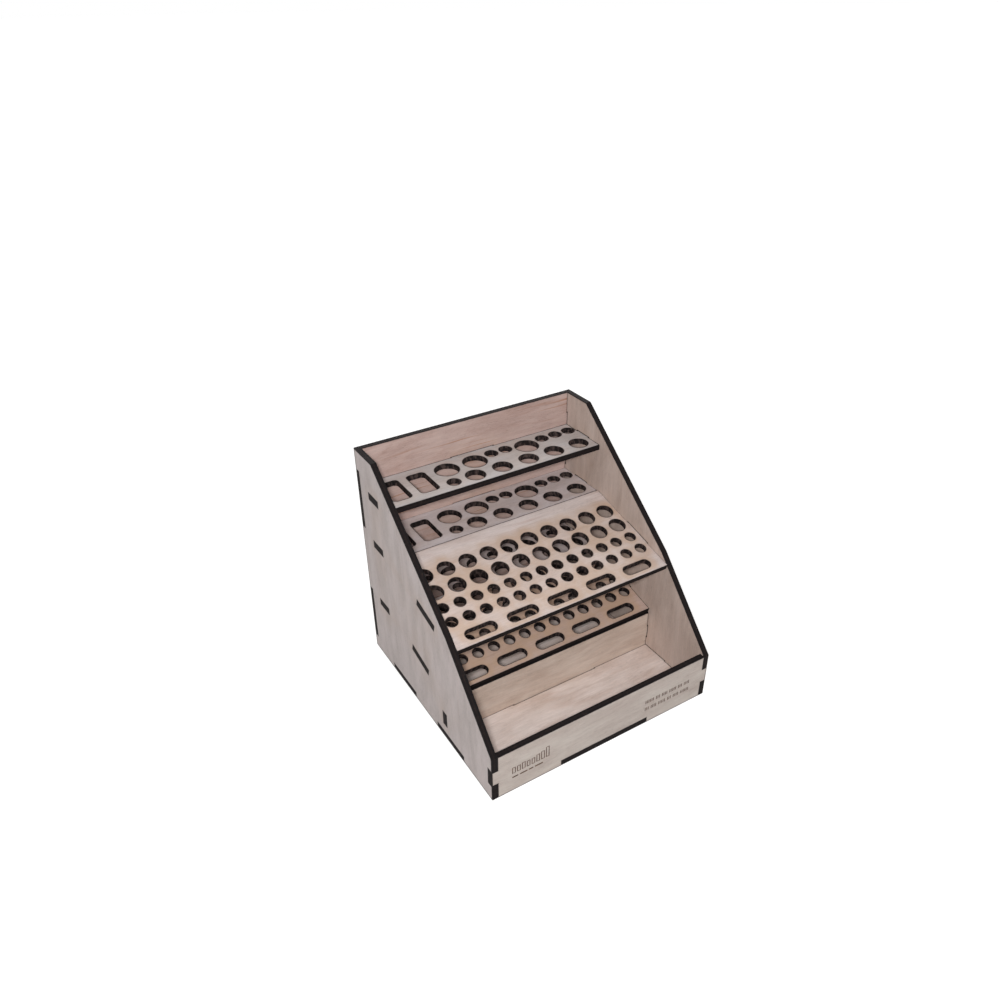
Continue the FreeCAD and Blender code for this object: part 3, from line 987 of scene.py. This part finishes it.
    def _stain_points(self) -> tuple[np.ndarray, np.ndarray]:
        """Spread points in rows beside the cuts, wherever a row has room.

        Returns:
            The points and their distances from the nearest cut.
        """
        found, levels = [], []
        for row in self.stain_rows:
            for loop in self.lines.loops:
                ring = offset_loop(loop, row)
                span = np.linalg.norm(np.roll(ring, -1, axis=0) - ring, axis=1)
                total = float(span.sum())
                count = max(self.row_least, round(total / (self.row_step + row / 2)))
                run = np.concatenate([[0.0], np.cumsum(span)])
                closed = np.vstack([ring, ring[:1]])
                at = (np.arange(count) + 0.5) * total / count
                spread = np.column_stack([np.interp(at, run, closed[:, k]) for k in (0, 1)])
                found.append(spread)
                levels.append(np.full(count, row))
        points, level = np.vstack(found), np.concatenate(levels)
        real = distance_to_cuts(points, self.lines.loops)
        inside = (real > level * self.row_slack) & on_wood(points, self.lines.loops)
        for mark in self.marks:
            low, high = mark.min(0) - self.mark_clearance, mark.max(0) + self.mark_clearance
            inside &= np.any((points < low) | (points > high), axis=1)
        return points[inside], level[inside]

    def _fill(self, inner: list[Loop], rings: list[list[int]], side: int) -> None:
        """Fill the field between the innermost rings with triangles.

        Args:
            inner: The innermost rings' points on the sheet.
            rings: Their numbers in the mesh.
            side: 1 for the better face, -1 for the other.
        """
        loose, distance = self._stain_points()
        numbers = [n for ring in rings for n in ring] + self._ring(loose, side * self.half, distance)
        owner = [index for index, ring in enumerate(rings) for _ in ring]
        owner += [-1 - k for k in range(len(loose))]
        edges, base = [], 0
        for ring in inner:
            edges += [(base + k, base + (k + 1) % len(ring)) for k in range(len(ring))]
            base += len(ring)
        places = np.vstack(inner + [loose])
        made = delaunay_2d_cdt([Vector(p) for p in places], edges, [], FILL_INSIDE, FILL_MERGE)
        verts, _, triangles, sources, _, _ = made
        if len(verts) != len(places):
            log.warning("%s: %d points became %d", self.node, len(places), len(verts))
        corners = np.array([[sources[k][0] for k in triangle] for triangle in triangles])
        # a triangle with all its corners on one ring may lie over a hole or a mark
        lone = np.array([len({owner[c] for c in three}) == 1 for three in corners])
        keep = ~lone
        keep[lone] = on_wood(places[corners[lone]].mean(axis=1), inner)
        for three in corners[keep]:
            face = tuple(numbers[c] for c in three)
            self.faces.append(face if side > 0 else face[::-1])
            self.kinds.append(Surface.VENEER.value)

    def _object(self) -> bpy.types.Object:
        """Turn the gathered points and faces into a mesh object.

        Returns:
            The new object, linked to the scene.
        """
        mesh = bpy.data.meshes.new(f"{self.node}_plywood")
        mesh.from_pydata(np.vstack(self.points).tolist(), [], self.faces)
        mesh.polygons.foreach_set("material_index", self.kinds)
        sheet = mesh.attributes.new("sheet", "FLOAT_VECTOR", "POINT")
        sheet.data.foreach_set("vector", np.vstack(self.flat_places).astype(np.float32).ravel())
        cut = mesh.attributes.new("cut_distance", "FLOAT", "POINT")
        cut.data.foreach_set("value", np.array(self.cut_distance, np.float32))
        places = np.vstack(self.flat_places)[:, :2] - np.array(self.offcut)
        away = np.minimum(distance_to_cuts(places, self.lines.loops[1:]), self.smoke_limit)
        hole = mesh.attributes.new("hole_distance", "FLOAT", "POINT")
        hole.data.foreach_set("value", away.astype(np.float32))
        mesh.shade_smooth()
        mesh.set_sharp_from_angle(angle=math.radians(self.crease))
        mesh.update()
        piece = bpy.data.objects.new(mesh.name, mesh)
        bpy.context.scene.collection.objects.link(piece)
        return piece


class FinishShelf:
    """Keeps one material for each finish."""

    def __init__(self) -> None:
        """Start with the finishes that every piece shares."""
        self.edge = CharredEdge()
        self.engraved = EngravedWood()
        self._made: dict[str, bpy.types.Material] = {}

    def material(self, finish: BirchVeneer | CharredEdge | EngravedWood) -> bpy.types.Material:
        """Give a finish's material, making it the first time.

        Args:
            finish: The finish.

        Returns:
            Its material.
        """
        if finish.name not in self._made:
            self._made[finish.name] = finish.material()
        return self._made[finish.name]


SIDE_VENEER = BirchVeneer(
    "side_veneer", (204, 193, 191), (186, 175, 171), figure=0.15, veins=0.1, streaks=0.16, rim=0.9
)
# A copy of the side veneer for the right side's inner face: warmer, as that wood is, and darker, partly
# painted shade for the farther, grazing light it gets.
INNER_WARM_SHADED_VENEER = BirchVeneer(
    "inner_side_veneer", (189, 172, 163), (174, 154, 143), figure=0.25, veins=0.15, rim=0.7
)
FRONT_VENEER = BirchVeneer(
    "front_veneer", (204, 194, 186), (188, 171, 163), figure=0.3, veins=0.15, streaks=0.26, rim=0.6
)
# A darker, greyer copy of the shelf veneer for the top shelf: painted shade.
TOP_SHELF_SHADED_VENEER = BirchVeneer(
    "top_shelf_veneer", (186, 181, 181), (173, 165, 162), figure=0.3, veins=0.15, rim=0.6
)
# A lighter copy of the shelf veneer for the middle and lower shelves: painted light that makes up for the
# shade of the shelves above them.
MIDDLE_SHELF_LIT_VENEER = BirchVeneer(
    "middle_shelf_veneer", (202, 192, 193), (187, 174, 172), figure=0.3, veins=0.15
)
RACK_VENEER = BirchVeneer(
    "rack_veneer", (206, 193, 189), (192, 173, 165), figure=0.35, veins=0.2, smoke=0.6
)
# A darker copy of the rack veneer for the lower rack: painted shade, for the shadow of the tools held
# over it.
LOWER_RACK_SHADED_VENEER = BirchVeneer(
    "lower_rack_veneer", (187, 164, 154), (174, 148, 135), figure=0.35, veins=0.2, smoke=0.6
)
BACK_VENEER = BirchVeneer(
    "back_veneer", (188, 165, 158), (170, 140, 130), figure=0.35, veins=0.7
)
RISER_VENEER = BirchVeneer(
    "riser_veneer", (205, 189, 177), (188, 163, 147), figure=0.3, veins=0.1
)
FLOOR_VENEER = BirchVeneer(
    "tray_floor_veneer", (215, 202, 196), (193, 170, 158), figure=0.4, veins=0.15
)


@dataclass
class Carcass:
    """The two sides, the back, the bottom, the tray's front and its riser.

    Attributes:
        stroke: Width of an engraved line.
        frames_left: Where the row of small open frames begins.
        frames_base: Height of the frames' lower bars over the bench.
        frame_width: Width of one frame.
        frame_web: Wood between two frames.
        corner_share: Wood that stays at a frame's corners, as a share of the line's width.
        frame_heights: Heights of the frames, from the left.
        dash_base: Height of the dashed line under them over the bench.
        dash_lengths: Lengths of its dashes, from the left.
        dash_web: Wood between two dashes.
        dash_weight: Height of a dash in widths of the line.
        rows_left: Where the two rows of short ticks begin.
        row_bases: Heights of the two rows over the bench.
        row_pitch: Spacing of their ticks.
        row_tick: Length of their ticks.
        row_groups: Ticks in each group of a row, with a gap after each.
    """

    stroke: float = 0.62
    frames_left: float = -75.0
    frames_base: float = 15.6
    frame_width: float = 2.7
    frame_web: float = 1.0
    corner_share: float = 1 / 3
    frame_heights: tuple[float, ...] = (5.4, 5.4, 6.0, 5.4, 5.4, 6.6, 7.4, 9.4)
    dash_base: float = 11.6
    dash_lengths: tuple[float, ...] = (4.6, 5.8, 3.4, 6.2)
    dash_web: float = 1.2
    dash_weight: float = 1.8
    rows_left: float = 34.0
    row_bases: tuple[float, ...] = (18.4, 11.8)
    row_pitch: float = 1.35
    row_tick: float = 3.0
    row_groups: tuple[int, ...] = (6, 3, 4, 5, 3, 4)

    def pieces(self) -> list[SheetPiece]:
        """List the carcass pieces with their finishes.

        Returns:
            The pieces, not yet built.
        """
        marks = self.engraving()
        return [
            SheetPiece("left_side_panel", Grain.UPRIGHT, Face.LEFT, SIDE_VENEER, (0, 0)),
            SheetPiece("right_side_panel", Grain.UPRIGHT, Face.LEFT, INNER_WARM_SHADED_VENEER, (310, 240)),
            SheetPiece("back_panel", Grain.SIDEWAYS, Face.FRONT, BACK_VENEER, (-420, 130)),
            SheetPiece("bottom_panel", Grain.SIDEWAYS, Face.UP, FLOOR_VENEER, (260, -350)),
            SheetPiece("front_panel", Grain.SIDEWAYS, Face.FRONT, FRONT_VENEER, (90, 510), marks),
            SheetPiece("tray_riser", Grain.SIDEWAYS, Face.FRONT, RISER_VENEER, (700, 90)),
        ]

    def engraving(self) -> list[Loop]:
        """Draw the marks on the front panel: open frames over dashes at one end, ticks at the other.

        Returns:
            The outlines, in millimetres from the middle of the stand and up from the bench.
        """
        marks = []
        left = self.frames_left
        for tall in self.frame_heights:
            marks += self._open_frame(left, tall)
            left += self.frame_width + self.frame_web
        left = self.frames_left
        for length in self.dash_lengths:
            marks.append(self._bar(left, self.dash_base, length, self.dash_weight * self.stroke))
            left += length + self.dash_web
        for row, base in enumerate(self.row_bases):
            groups = self.row_groups[row:] + self.row_groups[:row]
            place = self.rows_left
            for group in groups:
                for _ in range(group):
                    marks.append(self._bar(place, base, self.stroke, self.row_tick))
                    place += self.row_pitch
                place += self.row_pitch
        return marks

    def _open_frame(self, left: float, tall: float) -> list[Loop]:
        """Draw one frame of four bars that stay clear of each other at its corners.

        Args:
            left: Its left side.
            tall: Its height.

        Returns:
            The bars' outlines.
        """
        clear = self.stroke * self.corner_share
        level = self.frame_width - 2 * (self.stroke + clear)
        inner, low = left + self.stroke + clear, self.frames_base
        return [
            self._bar(left, low, self.stroke, tall),
            self._bar(left + self.frame_width - self.stroke, low, self.stroke, tall),
            self._bar(inner, low, level, self.stroke),
            self._bar(inner, low + tall - self.stroke, level, self.stroke),
        ]

    @staticmethod
    def _bar(left: float, low: float, width: float, height: float) -> Loop:
        """Outline one upright or level bar, with the wood on the loop's left."""
        right, high = left + width, low + height
        return np.array([(left, low), (left, high), (right, high), (right, low)])


@dataclass
class LevelShelves:
    """Three level shelves against the back.

    Attributes:
        lit_skin: How much narrower the burnt rim is along the contour of the middle shelf.
    """

    lit_skin: float = 0.2

    def pieces(self) -> list[SheetPiece]:
        """List the shelves with their finishes.

        Returns:
            The pieces, not yet built.
        """
        # The top shelf takes the darker copy of the shelf veneer (painted shade), the middle and lower
        # shelves the lighter one (painted light).
        top = SheetPiece("top_back_shelf", Grain.SIDEWAYS, Face.UP, TOP_SHELF_SHADED_VENEER, (-150, -90))
        middle = SheetPiece("middle_back_shelf", Grain.SIDEWAYS, Face.UP, MIDDLE_SHELF_LIT_VENEER, (520, 330))
        middle.outer_skin = self.lit_skin
        lower = SheetPiece("lower_back_shelf", Grain.SIDEWAYS, Face.UP, MIDDLE_SHELF_LIT_VENEER, (-640, 410))
        return [top, middle, lower]


@dataclass
class ToolRacks:
    """Two racks that lean forward from the shelves.

    Attributes:
        lit_skin: How much narrower the burnt rim is along the contour of the upper rack.
    """

    lit_skin: float = 0.2

    def pieces(self) -> list[SheetPiece]:
        """List the racks with their finishes.

        Returns:
            The pieces, not yet built.
        """
        upper = SheetPiece("middle_tool_rack", Grain.SIDEWAYS, Face.UP, RACK_VENEER, (40, 860))
        upper.outer_skin = self.lit_skin
        # The lower rack wears the darker copy of the rack veneer: painted shade.
        lower = SheetPiece("lower_tool_rack", Grain.SIDEWAYS, Face.UP, LOWER_RACK_SHADED_VENEER, (430, -780))
        return [upper, lower]


def direction(azimuth: float, elevation: float) -> Vector:
    """Point outwards, by degrees from the front towards the right and degrees over the horizon."""
    turn, rise = math.radians(azimuth), math.radians(elevation)
    return Vector((math.sin(turn) * math.cos(rise), -math.cos(turn) * math.cos(rise), math.sin(rise)))


@dataclass(frozen=True)
class BroadLamp:
    """One distant soft lamp.

    Attributes:
        name: Its name.
        strength: Its strength on a face turned to it.
        softness: Its width in degrees.
        azimuth: Degrees from the front towards the right that it stands at.
        elevation: Degrees over the horizon.
    """

    name: str
    strength: float
    softness: float
    azimuth: float
    elevation: float

    def hang(self) -> None:
        """Add the lamp to the scene."""
        lamp = bpy.data.lights.new(self.name, "SUN")
        lamp.energy = self.strength
        lamp.angle = math.radians(self.softness)
        made = bpy.data.objects.new(self.name, lamp)
        made.rotation_euler = direction(self.azimuth, self.elevation).to_track_quat("Z", "Y").to_euler()
        bpy.context.scene.collection.objects.link(made)


@dataclass
class Studio:
    """Pale floor, soft light and the camera.

    Attributes:
        eye: The camera's place, in metres.
        azimuth: Degrees from the front towards the right that the camera stands at.
        elevation: Degrees that it looks down.
        roll: Degrees that it leans.
        lens: Focal length in millimetres.
        film: Width of its film in millimetres.
        shift: How far the lens is shifted, as shares of the film's width.
        clip: Nearest and farthest that it sees, in metres.
        floor_radius: Radius of the floor in metres.
        floor_corners: Corners of its rim.
        floor_drop: How far it lies under the stand, in metres.
        floor_colour: Its colour to the light.
        glow_reach: Distances from the stand's middle, in metres, between which the glow grows.
        glow: The floor's glow to the eye up to the first and from the second of them.
        sky: Strength of the even sky on the stand.
        key: Strength of the small lamp.
        key_size: Its width in metres.
        key_left: How far it stands left of the lens, in metres.
        key_reach: Distance in metres at which its light is as strong as an unsoftened lamp's.
        broad_lamps: The distant lamps.
    """

    eye: Triple = (-0.261676, -0.388558, 0.433731)
    azimuth: float = -30.80
    elevation: float = 32.35
    roll: float = -0.978
    lens: float = 29.51
    film: float = 36.0
    shift: tuple[float, float] = (0.00305, 0.0161)
    clip: tuple[float, float] = (0.01, 200.0)
    floor_radius: float = 40.0
    floor_corners: int = 96
    floor_drop: float = 0.0001
    floor_colour: Triple = (0.45, 0.44, 0.43)
    glow_reach: tuple[float, float] = (0.1, 0.7)
    glow: tuple[float, float] = (0.7, 0.8)
    sky: float = 0.3
    key: float = 2.55
    key_size: float = 0.05
    key_left: float = 0.015
    key_reach: float = 0.6
    broad_lamps: tuple[BroadLamp, ...] = (
        BroadLamp("top_light", 0.3, 70, 20, 78),
        BroadLamp("back_light", 2.0, 60, 135, 20),
    )

    def build(self) -> None:
        """Set up everything around the stand."""
        self._camera()
        self._floor()
        self._light()

    def _camera(self) -> None:
        """Stand the camera at the front left, looking down at the stand."""
        camera = bpy.data.objects.new("camera", bpy.data.cameras.new("camera"))
        back = direction(self.azimuth, self.elevation)
        right = Vector((0.0, 0.0, 1.0)).cross(back).normalized()
        up = back.cross(right)
        rotation = Matrix((right, up, back)).transposed().to_4x4()
        rotation = rotation @ Matrix.Rotation(math.radians(self.roll), 4, "Z")
        camera.matrix_world = Matrix.Translation(self.eye) @ rotation
        camera.data.sensor_width = self.film
        camera.data.sensor_fit = "HORIZONTAL"
        camera.data.lens = self.lens
        camera.data.shift_x, camera.data.shift_y = self.shift
        camera.data.clip_start, camera.data.clip_end = self.clip
        bpy.context.scene.collection.objects.link(camera)
        bpy.context.scene.camera = camera

    def _floor(self) -> None:
        """Lay a wide round floor just under the stand, white to the eye and grey to the light."""
        mesh = bpy.data.meshes.new("studio_floor")
        angles = np.linspace(0, 2 * math.pi, self.floor_corners, endpoint=False)
        rim = np.column_stack([np.cos(angles), np.sin(angles)]) * self.floor_radius
        points = [(x, y, -self.floor_drop) for x, y in rim.tolist()]
        mesh.from_pydata(points, [], [tuple(range(len(points)))])
        floor = bpy.data.objects.new("studio_floor", mesh)
        bpy.context.scene.collection.objects.link(floor)
        material, bench = new_material("studio_floor")
        matt = bench.node("ShaderNodeBsdfDiffuse")
        bench.feed(matt.inputs["Color"], (*self.floor_colour, 1.0))
        reach = bench.node("ShaderNodeVectorMath", operation="LENGTH")
        bench.feed(reach.inputs[0], bench.node("ShaderNodeNewGeometry").outputs["Position"])
        level = bench.ease(reach.outputs["Value"], Ease(*self.glow_reach, *self.glow))
        glow = bench.node("ShaderNodeEmission")
        bench.feed(glow.inputs["Strength"], bench.times(self._seen(bench), level))
        both = bench.node("ShaderNodeAddShader")
        bench.feed(both.inputs[0], matt.outputs[0])
        bench.feed(both.inputs[1], glow.outputs[0])
        bench.output(both.outputs[0])
        mesh.materials.append(material)

    @staticmethod
    def _seen(bench: NodeBench) -> bpy.types.NodeSocket:
        """Tell the rays that show the backdrop from those that only light the stand.

        Args:
            bench: The tree to work on.

        Returns:
            A socket that is 1 for camera, glossy and transmission rays.
        """
        path = bench.node("ShaderNodeLightPath")
        seen = bench.math("MAXIMUM", path.outputs["Is Camera Ray"], path.outputs["Is Glossy Ray"])
        return bench.math("MAXIMUM", seen, path.outputs["Is Transmission Ray"])

    def _light(self) -> None:
        """Hold a small lamp beside the camera, with broad lamps above and behind and an even sky.

        The small lamp's light thins out with distance, not with its square, so that the near
        corner of the stand isn't much brighter than the far one.
        """
        lamp = bpy.data.lights.new("key_light", "AREA")
        lamp.shape, lamp.size, lamp.energy = "DISK", self.key_size, self.key
        lamp.use_nodes = True
        bench = NodeBench(lamp.node_tree)
        softened = bench.node("ShaderNodeLightFalloff")
        bench.feed(softened.inputs["Strength"], 1 / self.key_reach)
        glow = bench.node("ShaderNodeEmission")
        bench.feed(glow.inputs["Strength"], softened.outputs["Linear"])
        bench.output(glow.outputs[0], "ShaderNodeOutputLight")
        key = bpy.data.objects.new("key_light", lamp)
        aside = Matrix.Translation((-self.key_left, 0.0, 0.0))
        key.matrix_world = bpy.context.scene.camera.matrix_world @ aside
        key.visible_camera = False
        bpy.context.scene.collection.objects.link(key)
        for broad in self.broad_lamps:
            broad.hang()
        world = bpy.data.worlds.new("studio_sky")
        world.use_nodes = True
        bench = NodeBench(world.node_tree)
        background = bench.node("ShaderNodeBackground")
        bench.feed(background.inputs["Color"], WHITE)
        strength = bench.ease(self._seen(bench), Ease(0.0, 1.0, self.sky, 1.0))
        bench.feed(background.inputs["Strength"], strength)
        bench.output(background.outputs[0], "ShaderNodeOutputWorld")
        bpy.context.scene.world = world


def main() -> None:
    """Build the stand and the studio."""
    logging.basicConfig(level=logging.INFO, format="%(message)s")
    for old in ("Cube", "Light", "Camera"):
        if old in bpy.data.objects:
            bpy.data.objects.remove(bpy.data.objects[old])
    finishes = FinishShelf()
    for group in (Carcass(), LevelShelves(), ToolRacks()):
        for piece in group.pieces():
            made = piece.build(finishes)
            log.info("%s: %d cuts, %d faces", made.name, len(piece.lines.loops), len(made.data.polygons))
    Studio().build()
    bpy.context.scene.view_settings.view_transform = "Standard"


if __name__ == "__main__":
    main()
